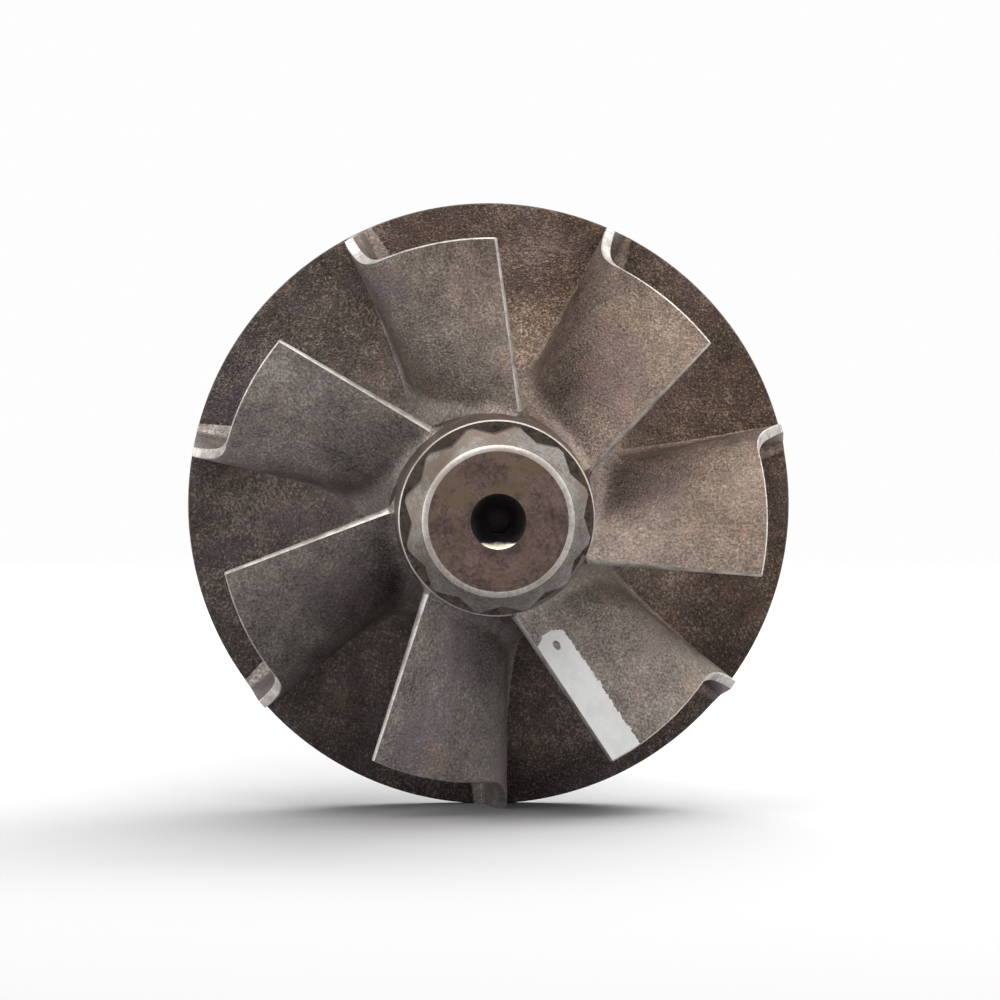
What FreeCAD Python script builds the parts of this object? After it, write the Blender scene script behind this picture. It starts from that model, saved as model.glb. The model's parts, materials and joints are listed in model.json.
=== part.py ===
import FreeCAD, Part
import math
import os
import re
import Sketcher
from FreeCAD import Placement, Rotation, Vector

# Turbine shaft wheel: a seven-bladed radial turbine wheel with a twelve-point nose, and the
# turned rotor shaft that is welded to its back. Millimetres and degrees.
#
# Both pieces are drawn from the weld plane on the rotor's axis. The wheel runs up its own
# local Z to the nose, and the shaft runs up its own local Z to the threaded end, so the two
# look away from each other. The rotor lies level, as in its bearings, with its axis along Y
# and the nose toward -Y. The origin is the middle of the turbine-end journal.

SIZES = {
    # back disc and hub, heights from the weld plane
    "wheel_radius": 22.5,
    "rim_back_height": 3.4,
    "rim_front_height": 4.6,
    "back_boss_radius": 8.2,
    "back_flare": 1.0,
    "curve_start_radius": 18.2,
    "curve_start_height": 5.2,
    "curve_end_height": 16.0,
    "boss_radius": 7.5,
    "shoulder_radius": 7.16,
    "shoulder_height": 24.2,
    # nose: a turned stub with twelve wrench points
    "nose_height": 28.5,
    "nose_radius": 6.8,
    "nose_face_radius": 5.2,
    "nose_chamfer": 1.7,
    "nose_edge": 0.35,
    "wrench_flats": 12.0,
    "wrench_points": 12,
    "first_wrench_angle": 17.5,
    "centre_mouth": 1.96,
    "centre_pilot": 1.0,
    "centre_cone_depth": 1.66,
    "centre_depth": 3.4,
    # balance cut ground into the hub shoulder
    "balance_middle_angle": 308.0,
    "balance_width_angle": 58.0,
    "balance_depth": 0.35,
    "balance_length": 3.2,
    "balance_flare": 0.3,
    # blades: the camber is ruled by straight lines from hub to tip
    "blade_count": 7,
    "first_blade_angle": 117.96,
    "inducer_height": 8.9,
    "exducer_height": 17.6,
    "exducer_inset": 2.25,
    "shroud_knee": 10.7,
    "shroud_curve": 3.0,
    "root_lean_angle": 2.4,
    "exit_sweep_angle": 28.3,
    "exit_offset": 2.97,
    "tip_inlet": 0.7,
    "tip_exit": 0.45,
    "root_inlet": 2.7,
    "root_exit": 0.7,
    "fillet_width": 0.7,
    "fillet_reach": 1.2,
    # shaft, lengths along the axis from the weld plane
    "flange_radius": 8.0,
    "flange_length": 9.5,
    "ring_groove_start": 4.6,
    "ring_groove_width": 1.6,
    "ring_groove_depth": 1.5,
    "neck_radius": 5.2,
    "neck_length": 2.2,
    "journal_radius": 4.0,
    "journal_length": 43.0,
    "land_length": 11.0,
    "waist_relief": 0.2,
    "seat_radius": 3.0,
    "seat_length": 27.0,
    "thread_radius": 2.5,
    "thread_length": 13.0,
    "undercut_width": 1.2,
    "undercut_depth": 0.35,
    "turned_chamfer": 0.4,
    "tail_mouth": 1.2,
    "tail_pilot": 0.6,
    "tail_cone_depth": 1.04,
    "tail_depth": 2.4,
}

# how far a cutting profile or a blade runs past what it cuts or joins
OVERRUN = 1.5
# the blade's inner edge, buried in the hub, as a share of the hub radius at the shoulder
BURIED_EDGE = 0.45
# spans of the blade between its sections, under the inducer tip and from there to the exducer
FOOT_SPANS = 2
BLADE_SPANS = 6
# chords that make up the hub's curve
HUB_CHORDS = 5
# depth of a drill's point as a share of its radius
DRILL_POINT = 0.6
# points closer than this are one point
SAME_POINT = 1e-6

document = FreeCAD.newDocument("turbine_shaft_wheel")


def make_sheet():
    """The driving dimensions, one named cell each."""
    sheet = document.addObject("Spreadsheet::Sheet", "sizes")
    for row, (name, value) in enumerate(SIZES.items(), start=1):
        sheet.set(f"A{row}", name)
        sheet.set(f"B{row}", str(value))
        sheet.setAlias(f"B{row}", name)
    document.recompute()
    return sheet


sizes = make_sheet()


def size(name):
    return float(sizes.get(name))


def spelled(expression):
    """An expression in bare size names, with the sheet's name put before each of them."""
    return re.sub("[a-z_]+", lambda word: f"sizes.{word[0]}" if word[0] in SIZES else word[0], expression)


def value_of(owner, expression):
    return float(owner.evalExpression(spelled(expression)))


def origin_item(body, role):
    return next(item for item in body.Origin.OriginFeatures if item.Role == role)


def new_body(name):
    body = document.addObject("PartDesign::Body", name)
    body.Label = name
    document.recompute()
    return body


def new_sketch(body, name, plane, offset=Placement()):
    sketch = body.newObject("Sketcher::SketchObject", name)
    sketch.AttachmentSupport = (origin_item(body, plane), [""])
    sketch.MapMode = "FlatFace"
    sketch.AttachmentOffset = offset
    document.recompute()
    return sketch


def constrain(sketch, expression, kind, *geometry):
    """A driving constraint whose value follows an expression."""
    index = sketch.addConstraint(Sketcher.Constraint(kind, *geometry, value_of(sketch, expression)))
    sketch.setExpression(f"Constraints[{index}]", spelled(expression))


def place_point(sketch, geometry, end, across, up):
    """Sets a point by its distances from the sketch's own axes; a leading minus is the far side."""
    for kind, axis, expression in (("DistanceX", -2, across), ("DistanceY", -1, up)):
        if expression == "0":
            sketch.addConstraint(Sketcher.Constraint("PointOnObject", geometry, end, axis))
        elif expression.startswith("-"):
            constrain(sketch, expression[1:], kind, geometry, end, -1, 1)
        else:
            constrain(sketch, expression, kind, -1, 1, geometry, end)


def draw_outline(sketch, corners):
    """Closed outline through corners (across, up) or (across, up, rounding radius)."""
    count = len(corners)
    at = [Vector(value_of(sketch, corner[0]), value_of(sketch, corner[1]), 0) for corner in corners]
    line_start, line_end, arcs = list(at), list(at), {}
    for index, corner in enumerate(corners):
        if len(corner) == 3:
            radius = value_of(sketch, corner[2])
            back = (at[index - 1] - at[index]).normalize()
            ahead = (at[(index + 1) % count] - at[index]).normalize()
            half = back.getAngle(ahead) / 2
            line_end[index] = at[index] + back * (radius / math.tan(half))
            line_start[index] = at[index] + ahead * (radius / math.tan(half))
            inward = (back + ahead).normalize()
            middle = at[index] + inward * (radius / math.sin(half) - radius)
            arcs[index] = Part.Arc(line_end[index], middle, line_start[index])
    lines = [sketch.addGeometry(Part.LineSegment(line_start[index], line_end[(index + 1) % count]))
             for index in range(count)]
    for index, corner in enumerate(corners):
        before, after = lines[index - 1], lines[index]
        if index not in arcs:
            sketch.addConstraint(Sketcher.Constraint("Coincident", before, 2, after, 1))
            place_point(sketch, after, 1, corner[0], corner[1])
            continue
        point = sketch.addGeometry(Part.Point(at[index]), True)
        arc = sketch.addGeometry(arcs[index])
        starts_first = (sketch.getPoint(arc, 1) - line_end[index]).Length < SAME_POINT
        first, last = (1, 2) if starts_first else (2, 1)
        sketch.addConstraint(Sketcher.Constraint("Tangent", before, 2, arc, first))
        sketch.addConstraint(Sketcher.Constraint("Tangent", after, 1, arc, last))
        sketch.addConstraint(Sketcher.Constraint("PointOnObject", point, 1, before))
        sketch.addConstraint(Sketcher.Constraint("PointOnObject", point, 1, after))
        place_point(sketch, point, 1, corner[0], corner[1])
        constrain(sketch, corner[2], "Radius", arc)
    document.recompute()
    return sketch


def turn(body, kind, name, corners, offset=Placement(), angle=None):
    """Revolution or Groove of an outline about the body's Z axis, whole or over an angle."""
    sketch = draw_outline(new_sketch(body, f"{name}_outline", "XZ_Plane", offset), corners)
    before = body.Shape.Volume if kind == "Groove" else 0
    feature = body.newObject(f"PartDesign::{kind}", name)
    feature.Profile = sketch
    feature.ReferenceAxis = (sketch, ["V_Axis"])
    feature.Angle = 360
    if angle:
        feature.Midplane = True
        feature.setExpression("Angle", spelled(angle))
    sketch.Visibility = False
    document.recompute()
    if kind == "Groove" and not feature.Shape.Volume < before:
        raise RuntimeError(f"{name} cuts nothing")
    return feature


def pattern_round(body, name, feature, count):
    pattern = body.newObject("PartDesign::PolarPattern", name)
    pattern.Originals = [feature]
    pattern.Axis = (origin_item(body, "Z_Axis"), [""])
    pattern.Angle = 360
    pattern.setExpression("Occurrences", spelled(count))
    body.Tip = pattern
    document.recompute()
    return pattern


def hub_curve():
    """Points of the quarter ellipse that leads the disc's face up into the boss."""
    points = []
    for number in range(HUB_CHORDS + 1):
        turned_so_far = f"90 * {number} / {HUB_CHORDS}"
        inward = f"(curve_start_radius - boss_radius) * sin({turned_so_far})"
        below_end = f"(curve_end_height - curve_start_height) * cos({turned_so_far})"
        points.append((f"curve_start_radius - {inward}", f"curve_end_height - {below_end}"))
    return points


def turn_hub(body):
    """Back boss, disc, hub and turned nose stub in one outline."""
    return turn(body, "Revolution", "hub", [
        ("0", "0"),
        ("back_boss_radius", "0"),
        ("back_boss_radius", "rim_back_height - back_flare"),
        ("back_boss_radius + back_flare", "rim_back_height"),
        ("wheel_radius", "rim_back_height"),
        ("wheel_radius", "rim_front_height"),
        *hub_curve(),
        ("shoulder_radius", "shoulder_height"),
        ("nose_radius", "shoulder_height"),
        ("nose_radius", "nose_height - nose_chamfer"),
        ("nose_face_radius + nose_edge", "nose_height - nose_edge / 2"),
        ("nose_face_radius", "nose_height"),
        ("0", "nose_height"),
    ])


def blade_station(height):
    """The plane of the straight camber line at one height, across the blade's thickness.

    Above the inducer tip the camber sweeps clockwise by a square law, and the line moves off
    the axis by the same law, so the trailing edge lies straight and misses the axis. Below
    the inducer tip it leans the same way down to the middle of the disc's rim.
    """
    rise = size("exducer_height") - size("inducer_height")
    share = max(height - size("inducer_height"), 0) / rise
    drop = max(size("inducer_height") - height, 0) / (size("inducer_height") - rim_middle())
    miss = size("exit_offset") * share ** 2
    exducer_radius = size("wheel_radius") - size("exducer_inset")
    missing_axis = math.degrees(math.asin(miss / exducer_radius))
    swept = size("root_lean_angle") * drop + size("exit_sweep_angle") * share ** 2
    middle_radius = (exducer_radius + size("shoulder_radius")) / 2
    sweep_rate = math.radians(2 * size("exit_sweep_angle") * share / rise)
    turned = Rotation(Vector(0, 0, 1), size("first_blade_angle") - swept + missing_axis)
    tilted = Rotation(Vector(1, 0, 0), math.degrees(math.atan(middle_radius * sweep_rate)))
    beside_axis = turned.multVec(Vector(0, -miss, 0))
    return Placement(beside_axis + Vector(0, 0, height), turned * tilted)


def rim_middle():
    return (size("rim_back_height") + size("rim_front_height")) / 2


def hub_radius(height):
    """Radius of the hub's curve at a height, and of the boss above it."""
    below_end = f"max(curve_end_height - {height}; 0) / (curve_end_height - curve_start_height)"
    return f"curve_start_radius - (curve_start_radius - boss_radius) * sqrt(1 - ({below_end})^2)"


def draw_station(body, number, height, foot, tip, root):
    """One section of the blade, thin at the tip and thick at the hub, with a flared foot."""
    sketch = new_sketch(body, f"blade_station_{number}", "XY_Plane", blade_station(height))
    side = []
    for across, flare in (
        (f"shoulder_radius * {BURIED_EDGE}", "fillet_width"),
        (foot, "fillet_width"),
        (f"{foot} + fillet_reach", "0"),
        (f"wheel_radius + {OVERRUN}", "0"),
    ):
        side.append((across, f"(({root} + ({tip} - {root}) * ({across}) / wheel_radius) / 2 + {flare})"))
    return draw_outline(sketch, side + [(across, f"-{half}") for across, half in reversed(side)])


def loft_blade(body):
    """One blade from inside the disc, past the inducer tip and up to the trailing edge."""
    stations = [draw_station(body, 0, rim_middle(), "wheel_radius", "tip_inlet", "root_inlet")]
    start, inducer, exducer = size("curve_start_height"), size("inducer_height"), size("exducer_height")
    for number in range(FOOT_SPANS):
        height = start + (inducer - start) * number / FOOT_SPANS
        stations.append(draw_station(body, number + 1, height, hub_radius(height), "tip_inlet", "root_inlet"))
    for number in range(BLADE_SPANS + 1):
        share = f"{number} / {BLADE_SPANS}"
        tip = f"(tip_inlet + (tip_exit - tip_inlet) * {share})"
        root = f"(root_inlet + (root_exit - root_inlet) * {share})"
        height = inducer + (exducer - inducer) * number / BLADE_SPANS
        stations.append(draw_station(body, len(stations), height, hub_radius(height), tip, root))
    loft = body.newObject("PartDesign::AdditiveLoft", "blade")
    loft.Profile = stations[0]
    loft.Sections = stations[1:]
    loft.Ruled = True
    document.recompute()
    return loft


def grind_tips(body):
    """The blade tips are ground to the rim, the shroud curve and the exducer."""
    clear_height = f"exducer_height + {2 * OVERRUN}"
    clear_radius = f"wheel_radius + {2 * OVERRUN}"
    return turn(body, "Groove", "ground_tips", [
        ("wheel_radius", "0"),
        ("wheel_radius", "inducer_height"),
        ("wheel_radius - exducer_inset", "shroud_knee", "shroud_curve"),
        ("wheel_radius - exducer_inset", clear_height),
        (clear_radius, clear_height),
        (clear_radius, "0"),
    ])


def cut_balance(body):
    """The balance cut, ground into the edge of the hub's shoulder over part of its round."""
    facing = Placement(Vector(), Rotation(Vector(0, 1, 0), size("balance_middle_angle")))
    return turn(body, "Groove", "balance_cut", [
        ("shoulder_radius - balance_depth", "shoulder_height"),
        ("shoulder_radius + balance_flare", "shoulder_height"),
        ("shoulder_radius + balance_flare", "shoulder_height - balance_length"),
    ], facing, "balance_width_angle")


def cut_wrench_points(body):
    """V notches between the points, down to the shoulder, so that the flats take a socket."""
    turned = Rotation(Vector(0, 0, 1), size("first_wrench_angle") - 180 / size("wrench_points"))
    place = Placement(Vector(0, 0, size("nose_height")), turned)
    sketch = new_sketch(body, "wrench_notch_outline", "XY_Plane", place)
    valley = "wrench_flats / 2 / cos(180 / wrench_points)"
    outside = f"nose_radius + {OVERRUN}"
    spread = f"({outside} - {valley}) * tan(90 - 180 / wrench_points)"
    draw_outline(sketch, [(valley, "0"), (outside, f"-{spread}"), (outside, spread)])
    before = body.Shape.Volume
    notch = body.newObject("PartDesign::Pocket", "wrench_notch")
    notch.Profile = sketch
    notch.setExpression("Length", spelled("nose_height - shoulder_height"))
    document.recompute()
    if not notch.Shape.Volume < before:
        raise RuntimeError("the wrench notch cuts nothing")
    return pattern_round(body, "wrench_points", notch, "wrench_points")


def drill_centre(body, name, face, mouth, pilot, cone_depth, depth):
    """A lathe centre hole: a cone that leads into a pilot drilling."""
    return turn(body, "Groove", name, [
        ("0", face),
        (mouth, face),
        (pilot, f"{face} - {cone_depth}"),
        (pilot, f"{face} - {depth}"),
        ("0", f"{face} - {depth} - {pilot} * {DRILL_POINT}"),
    ])


def make_wheel():
    body = new_body("turbine_wheel")
    turn_hub(body)
    pattern_round(body, "blades", loft_blade(body), "blade_count")
    grind_tips(body)
    cut_balance(body)
    cut_wrench_points(body)
    drill_centre(body, "nose_centre", "nose_height", "centre_mouth", "centre_pilot",
                 "centre_cone_depth", "centre_depth")
    return body


# lengths along the shaft where its steps end
FLANGE_END = "flange_length"
NECK_END = f"{FLANGE_END} + neck_length"
JOURNAL_END = f"{NECK_END} + journal_length"
SEAT_END = f"{JOURNAL_END} + seat_length"
SHAFT_END = f"{SEAT_END} + thread_length"


def cut_undercut(body, name, radius, end):
    """A grinding relief at the foot of a step, just before the next larger diameter."""
    bottom = f"{radius} - undercut_depth"
    outside = f"{radius} + {OVERRUN}"
    return turn(body, "Groove", name, [
        (bottom, end),
        (outside, end),
        (outside, f"{end} + undercut_width"),
        (bottom, f"{end} + undercut_width"),
    ])


def make_shaft():
    body = new_body("rotor_shaft")
    turn(body, "Revolution", "steps", [
        ("0", "0"),
        ("flange_radius", "0"),
        ("flange_radius", f"{FLANGE_END} - turned_chamfer"),
        ("flange_radius - turned_chamfer", FLANGE_END),
        ("neck_radius", FLANGE_END),
        ("neck_radius", f"{NECK_END} - turned_chamfer"),
        ("neck_radius - turned_chamfer", NECK_END),
        ("journal_radius", NECK_END),
        ("journal_radius", f"{JOURNAL_END} - turned_chamfer"),
        ("journal_radius - turned_chamfer", JOURNAL_END),
        ("seat_radius", JOURNAL_END),
        ("seat_radius", f"{SEAT_END} - turned_chamfer / 2"),
        ("seat_radius - turned_chamfer / 2", SEAT_END),
        ("thread_radius", SEAT_END),
        ("thread_radius", f"{SHAFT_END} - turned_chamfer"),
        ("thread_radius - turned_chamfer", SHAFT_END),
        ("0", SHAFT_END),
    ])
    ring_bottom = "flange_radius - ring_groove_depth"
    ring_outside = f"flange_radius + {OVERRUN}"
    ring_end = "ring_groove_start + ring_groove_width"
    turn(body, "Groove", "seal_ring_groove", [
        (ring_bottom, "ring_groove_start"),
        (ring_outside, "ring_groove_start"),
        (ring_outside, ring_end),
        (ring_bottom, ring_end),
    ])
    waist_start = f"{NECK_END} + land_length"
    waist_end = f"{JOURNAL_END} - land_length"
    turn(body, "Groove", "waist", [
        ("journal_radius", waist_start),
        ("journal_radius", waist_end),
        ("journal_radius - waist_relief", f"{waist_end} - turned_chamfer"),
        ("journal_radius - waist_relief", f"{waist_start} + turned_chamfer"),
    ])
    cut_undercut(body, "seat_undercut", "seat_radius", JOURNAL_END)
    drill_centre(body, "tail_centre", SHAFT_END, "tail_mouth", "tail_pilot", "tail_cone_depth", "tail_depth")
    return body


def set_level(wheel, shaft):
    """Turns both pieces onto the row's Y axis, with the turbine-end journal's middle at the origin."""
    weld_point = Vector(0, -value_of(sizes, f"{NECK_END} + land_length / 2"), 0)
    across = Vector(1, 0, 0)
    wheel.Placement = Placement(weld_point, Rotation(across, 90))
    shaft.Placement = Placement(weld_point, Rotation(across, -90))


def check_document(pieces):
    """Stops before anything is written if an object failed or a piece is no single solid."""
    for item in document.Objects:
        if "Invalid" in item.State or "Error" in item.State:
            raise RuntimeError(f"{item.Label} failed: {item.State}")
    for piece in pieces:
        shape = piece.Shape
        if shape.isNull() or not shape.isValid() or len(shape.Solids) != 1:
            raise RuntimeError(f"{piece.Label} is not one valid solid")


pieces = [make_wheel(), make_shaft()]
set_level(*pieces)
document.recompute()
check_document(pieces)
os.makedirs("parts", exist_ok=True)
for piece in pieces:
    piece.Shape.exportStep(f"parts/{piece.Label}.step")
    box = piece.Shape.optimalBoundingBox()
    print(piece.Label, f"{piece.Shape.Volume:.1f} mm3,", f"x {box.XMin:.2f} to {box.XMax:.2f},",
          f"y {box.YMin:.2f} to {box.YMax:.2f},", f"z {box.ZMin:.2f} to {box.ZMax:.2f}")
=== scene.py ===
import json
import math

import bmesh
import bpy
import numpy as np
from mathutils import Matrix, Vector


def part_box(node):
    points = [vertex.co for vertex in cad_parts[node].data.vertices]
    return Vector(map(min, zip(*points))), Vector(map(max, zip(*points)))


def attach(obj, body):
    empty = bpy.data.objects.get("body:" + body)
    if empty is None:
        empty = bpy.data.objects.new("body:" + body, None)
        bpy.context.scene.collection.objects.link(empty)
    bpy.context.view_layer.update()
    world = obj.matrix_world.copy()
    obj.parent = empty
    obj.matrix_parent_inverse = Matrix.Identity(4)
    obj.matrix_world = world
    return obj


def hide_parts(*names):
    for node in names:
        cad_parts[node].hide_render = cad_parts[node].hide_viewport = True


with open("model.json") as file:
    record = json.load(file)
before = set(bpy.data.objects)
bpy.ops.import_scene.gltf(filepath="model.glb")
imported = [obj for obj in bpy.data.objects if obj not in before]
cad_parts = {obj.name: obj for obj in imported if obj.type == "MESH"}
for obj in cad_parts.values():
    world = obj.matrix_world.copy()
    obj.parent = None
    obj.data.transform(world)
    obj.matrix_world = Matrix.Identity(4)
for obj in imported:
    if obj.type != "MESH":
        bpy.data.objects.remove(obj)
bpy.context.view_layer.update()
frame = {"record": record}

# Lengths in the dictionaries are millimetres. Heights run along the axis from the weld plane:
# toward the nose on the wheel, toward the threaded end on the shaft.
mm = 0.001
poleR = 0.001      # a ring this small closes a surface on the axis
mounts = {mount["name"]: mount for mount in frame["record"]["mounts"]}
noseTip = mounts["twelve_point_drive"]["pos_m"][1] / mm
threadR = mounts["thread_end"]["dims"]["r_mm"]
seatR = mounts["compressor_seat"]["dims"]["r_mm"]
journalR = mounts["turbine_end_journal"]["dims"]["r_mm"]
wheelLow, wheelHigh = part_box("turbine_wheel")
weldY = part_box("rotor_shaft")[0].y / mm
rimR = min(-wheelLow.x, -wheelLow.z, wheelHigh.x, wheelHigh.z) / mm


# nodes

class Wire:      # a socket, with maths that adds Math nodes

    def __init__(self, tree, socket):
        self.tree = tree
        self.socket = socket

    def maths(self, operation, *values):
        sockets = dict(enumerate(values))
        return self.tree.add("ShaderNodeMath", {"operation": operation}, sockets)

    def __add__(self, other): return self.maths("ADD", self, other)
    def __radd__(self, other): return self.maths("ADD", other, self)
    def __sub__(self, other): return self.maths("SUBTRACT", self, other)
    def __rsub__(self, other): return self.maths("SUBTRACT", other, self)
    def __mul__(self, other): return self.maths("MULTIPLY", self, other)
    def __rmul__(self, other): return self.maths("MULTIPLY", other, self)
    def __pow__(self, other): return self.maths("POWER", self, other)


class Tree:      # the nodes of a material or the world, made through add

    def __init__(self, owner):
        owner.use_nodes = True
        self.nodes = owner.node_tree.nodes
        self.links = owner.node_tree.links
        self.nodes.clear()

    def add(self, kind, settings=None, sockets=None, output=0):
        node = self.nodes.new(kind)
        for key, value in (settings or {}).items():
            setattr(node, key, value)
        for key, value in (sockets or {}).items():
            if isinstance(value, Wire):
                self.links.new(value.socket, node.inputs[key])
            else:
                node.inputs[key].default_value = value
        return Wire(self, node.outputs[output]) if len(node.outputs) else node

    def noise(self, place, scale, detail=3, roughness=0.5, distortion=0):
        values = {"Vector": place, "Scale": scale, "Detail": detail, "Roughness": roughness,
                  "Distortion": distortion}
        return self.add("ShaderNodeTexNoise", {}, values, "Fac")

    def ringNoise(self, along, across, detail, roughness):
        place = self.add("ShaderNodeCombineXYZ", {}, {0: along, 1: across})
        return self.noise(place, 1.0, detail, roughness)

    def ease(self, value, low, high, before=0, after=1):
        values = {"Value": value, "From Min": low, "From Max": high, "To Min": before, "To Max": after}
        return self.add("ShaderNodeMapRange", {"interpolation_type": "SMOOTHSTEP"}, values)

    def blend(self, factor, first, second, how="MIX"):
        settings = {"data_type": "RGBA", "blend_type": how}
        first = first if isinstance(first, Wire) else (*first, 1)
        second = second if isinstance(second, Wire) else (*second, 1)
        return self.add("ShaderNodeMix", settings, {0: factor, 6: first, 7: second}, 2)

    def bump(self, look, height):
        values = {"Strength": look["bumpStrength"], "Distance": look["bump"] * mm, "Height": height}
        return self.add("ShaderNodeBump", {}, values)

    def gray(self, value):
        return self.add("ShaderNodeCombineColor", {}, {0: value, 1: value, 2: value})

    def placeInMm(self):
        where = self.add("ShaderNodeTexCoord", {}, {}, "Object")
        return self.add("ShaderNodeVectorMath", {"operation": "SCALE"}, {0: where, "Scale": 1 / mm})

    def split(self, place):
        node = self.add("ShaderNodeSeparateXYZ", {}, {0: place}).socket.node
        return [Wire(self, socket) for socket in node.outputs]

    def finish(self, shaderValues):
        shader = self.add("ShaderNodeBsdfPrincipled", {}, shaderValues)
        self.add("ShaderNodeOutputMaterial", {}, {"Surface": shader})


def smaller(first, second):
    return first.maths("MINIMUM", first, second)


def larger(first, second):
    return first.maths("MAXIMUM", first, second)


# meshes

seams = {"join": 0.002, "shortest": 0.0005}


class Shell:      # grids of points collected into one mesh

    def __init__(self):
        self.points = []
        self.faces = []
        self.slots = []
        self.count = 0

    def addGrid(self, grid, slot, closed=False, flip=False):
        rows, columns = grid.shape[:2]
        index = np.arange(rows * columns).reshape(rows, columns) + self.count
        if closed:
            index = np.concatenate([index, index[:, :1]], axis=1)
        quads = np.stack([index[:-1, :-1], index[:-1, 1:], index[1:, 1:], index[1:, :-1]], axis=-1).reshape(-1, 4)
        if flip:
            quads = quads[:, ::-1]
        self.points.append(grid.reshape(-1, 3))
        self.faces.append(quads)
        self.slots += [slot] * len(quads)
        self.count += rows * columns

    def build(self, name, materials, place, sharpAngle):
        points = place(np.concatenate(self.points)) * mm
        mesh = bpy.data.meshes.new(name)
        mesh.from_pydata(points.tolist(), [], np.concatenate(self.faces).tolist())
        for material in materials:
            mesh.materials.append(material)
        mesh.polygons.foreach_set("material_index", self.slots)
        piece = bpy.data.objects.new(name, mesh)
        bpy.context.scene.collection.objects.link(piece)
        weldSeams(piece)
        mesh.shade_smooth()
        mesh.set_sharp_from_angle(angle=math.radians(sharpAngle))
        mesh.update()
        print(name, len(mesh.polygons), "faces")
        return piece


def weldSeams(piece):      # joins the grids where their edges meet
    work = bmesh.new()
    work.from_mesh(piece.data)
    bmesh.ops.remove_doubles(work, verts=work.verts, dist=seams["join"] * mm)
    bmesh.ops.dissolve_degenerate(work, edges=work.edges, dist=seams["shortest"] * mm)
    work.to_mesh(piece.data)
    work.free()


def onWheel(points):      # the wheel's Z runs toward the nose, so toward -Y
    return np.stack([points[:, 0], weldY - points[:, 2], points[:, 1]], axis=1)


def onShaft(points):      # the shaft's Z runs toward the threaded end
    return np.stack([points[:, 0], weldY + points[:, 2], points[:, 1]], axis=1)


def arcPoints(centre, radius, start, end, count):
    angles = np.radians(np.linspace(start, end, count + 1))
    return [(centre[0] + radius * math.cos(a), centre[1] + radius * math.sin(a)) for a in angles]


def between(first, last, count):      # a straight run, without its first point
    return [tuple(np.array(first) + (np.array(last) - np.array(first)) * (i + 1) / count) for i in range(count)]


# the wheel's hub, disc and nose

hub = {
    "rimBack": 3.4, "rimFront": 4.6, "rimEdge": 0.08,      # the disc's rim
    "bossBack": 8.2, "backFillet": 1.2, "bossBevel": 0.2, "bossDrop": 0.12,
    "curveR": 18.2, "curveLow": 5.2, "curveHigh": 16.0,    # quarter ellipse up to the boss
    "bossR": 7.35, "shoulderR": 7.16, "shoulder": 24.2, "shoulderEdge": 0.10,
    "noseTop": weldY - noseTip, "noseR": 6.8, "noseFace": 5.35, "noseChamfer": 1.6, "noseCrest": 0.6,
    "flats": 12.0, "points": 12, "firstPoint": 17.5,
    "mouth": 1.96, "pilot": 1.0, "coneDepth": 1.66, "holeDepth": 3.4, "drillTip": 0.6,
    "mouthBevel": 0.06, "mouthDrop": 0.05, "pilotBevel": 0.05, "pilotDrop": 0.04,
    "cutMiddle": 308.0, "cutWidth": 58.0, "cutDepth": 0.35, "cutLength": 3.2, "cutFlare": 0.3, "cutReach": 1.5,
    "columnStep": 1.25, "cutEdge": 0.1, "leastStep": 0.15, "noLimit": 1000,
    "backSteps": 6, "faceSteps": 4, "curveSteps": 28, "bossSteps": 34, "sharpAngle": 32,
}


def hubAngles():      # columns, with extra ones at the edges of the nose and the cut
    step = 360 / hub["points"]
    corner = step - math.degrees(math.acos(hub["flats"] / 2 / hub["noseR"]))
    angles = list(np.arange(0, 360, hub["columnStep"]))
    for number in range(hub["points"]):
        point = hub["firstPoint"] + step * number
        angles += [point - step / 2, point, point - corner, point + corner]
    for side in (-1, 1):
        end = hub["cutMiddle"] + side * hub["cutWidth"] / 2
        angles += [end - hub["cutEdge"], end + hub["cutEdge"]]
    angles = np.unique(np.round(np.mod(angles, 360), 4))
    apart = np.diff(np.append(angles, angles[0] + 360)) > hub["leastStep"]
    return np.radians(angles[apart])


def starRadius(angles):      # two hexagons half a step apart, in a turned stub
    outline = np.zeros_like(angles)
    step = 360 / hub["points"]
    for hexagon in range(2):
        flat = math.radians(hub["firstPoint"] + step + step * hexagon)
        fromFlat = np.mod(angles - flat + math.pi / 6, math.pi / 3) - math.pi / 6
        outline = np.maximum(outline, hub["flats"] / 2 / np.cos(fromFlat))
    return np.minimum(outline, hub["noseR"])


def cutRadius(angles, height):      # the balance cut's cone, and no limit elsewhere
    aside = np.abs(np.mod(np.degrees(angles) - hub["cutMiddle"] + 180, 360) - 180)
    slope = (hub["cutDepth"] + hub["cutFlare"]) / hub["cutLength"]
    cone = hub["shoulderR"] - hub["cutDepth"] + (hub["shoulder"] - height) * slope
    reached = height > hub["shoulder"] - hub["cutReach"] * hub["cutLength"]
    return np.where((aside < hub["cutWidth"] / 2) & reached, cone, hub["noLimit"])


def hubCurve(count):
    turned = np.linspace(0, math.pi / 2, count + 1)
    radii = hub["curveR"] - (hub["curveR"] - hub["bossR"]) * np.sin(turned)
    heights = hub["curveHigh"] - (hub["curveHigh"] - hub["curveLow"]) * np.cos(turned)
    return list(zip(radii, heights))


def ringGrid(angles, rings):      # a ring is a radius and a height, numbers or one per column
    rows = []
    for radius, height in rings:
        radius = np.broadcast_to(radius, angles.shape)
        height = np.broadcast_to(height, angles.shape)
        rows.append(np.stack([radius * np.cos(angles), radius * np.sin(angles), height], axis=1))
    return np.array(rows)


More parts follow.
